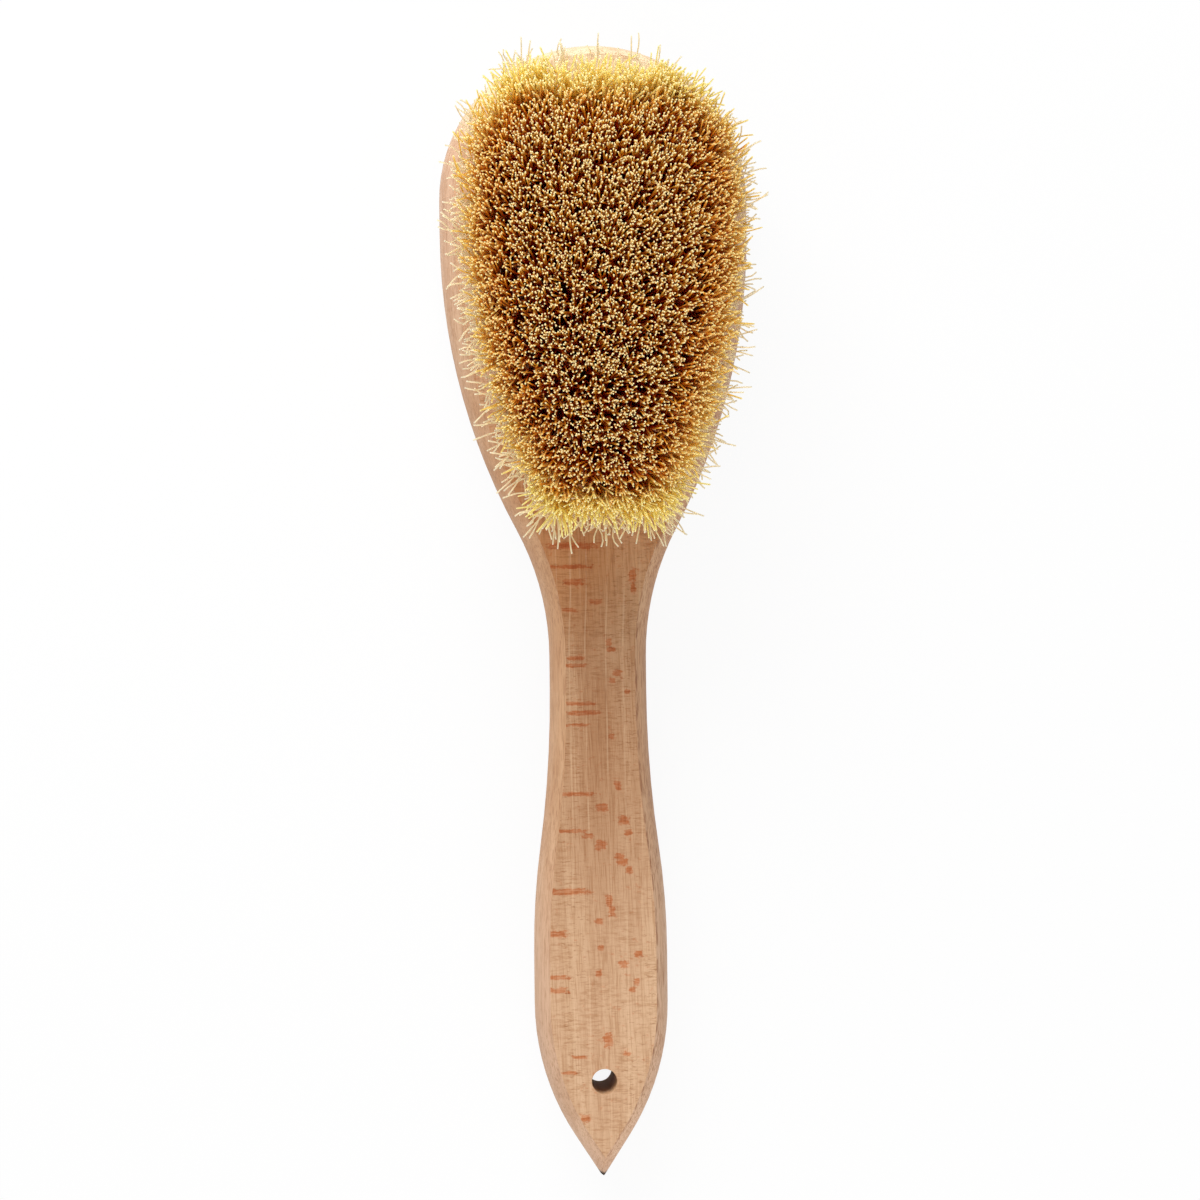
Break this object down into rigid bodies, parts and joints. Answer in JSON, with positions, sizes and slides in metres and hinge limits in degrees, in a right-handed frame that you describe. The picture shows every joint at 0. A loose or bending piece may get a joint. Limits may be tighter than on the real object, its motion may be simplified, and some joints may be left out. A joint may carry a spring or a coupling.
{
  "type": "vegetable brush",
  "caption": "Wooden vegetable brush: a flat round head with fanned tufts of plant fibre, a slim neck and a swelling, pointed handle with a hanging hole.",
  "frame": {"origin": "under the middle of the brush's length and width, on its flat back", "axes": "+Z out of the bristle side, along the hanging hole; +Y towards the head; +X to the right, seen from above"},
  "size_m": [0.0614, 0.225, 0.0466],
  "materials": {
    "beech": "oiled, satin",
    "bristle": "plant fibre, dull",
    "staple": "drawn wire"
  },
  "bodies": {
    "root": {"wooden_body": "beech", "tuft_row_01": "bristle", "tuft_row_02": "bristle", "tuft_row_03": "bristle", "tuft_row_04": "bristle", "tuft_row_05": "bristle", "tuft_row_06": "bristle", "tuft_row_07": "bristle", "tuft_row_08": "bristle", "tuft_row_09": "bristle", "tuft_row_10": "bristle", "tuft_row_11": "bristle", "tuft_row_12": "bristle", "staple_row_01": "staple", "staple_row_02": "staple", "staple_row_03": "staple", "staple_row_04": "staple", "staple_row_05": "staple", "staple_row_06": "staple", "staple_row_07": "staple", "staple_row_08": "staple", "staple_row_09": "staple", "staple_row_10": "staple", "staple_row_11": "staple", "staple_row_12": "staple"}
  },
  "joints": []
}
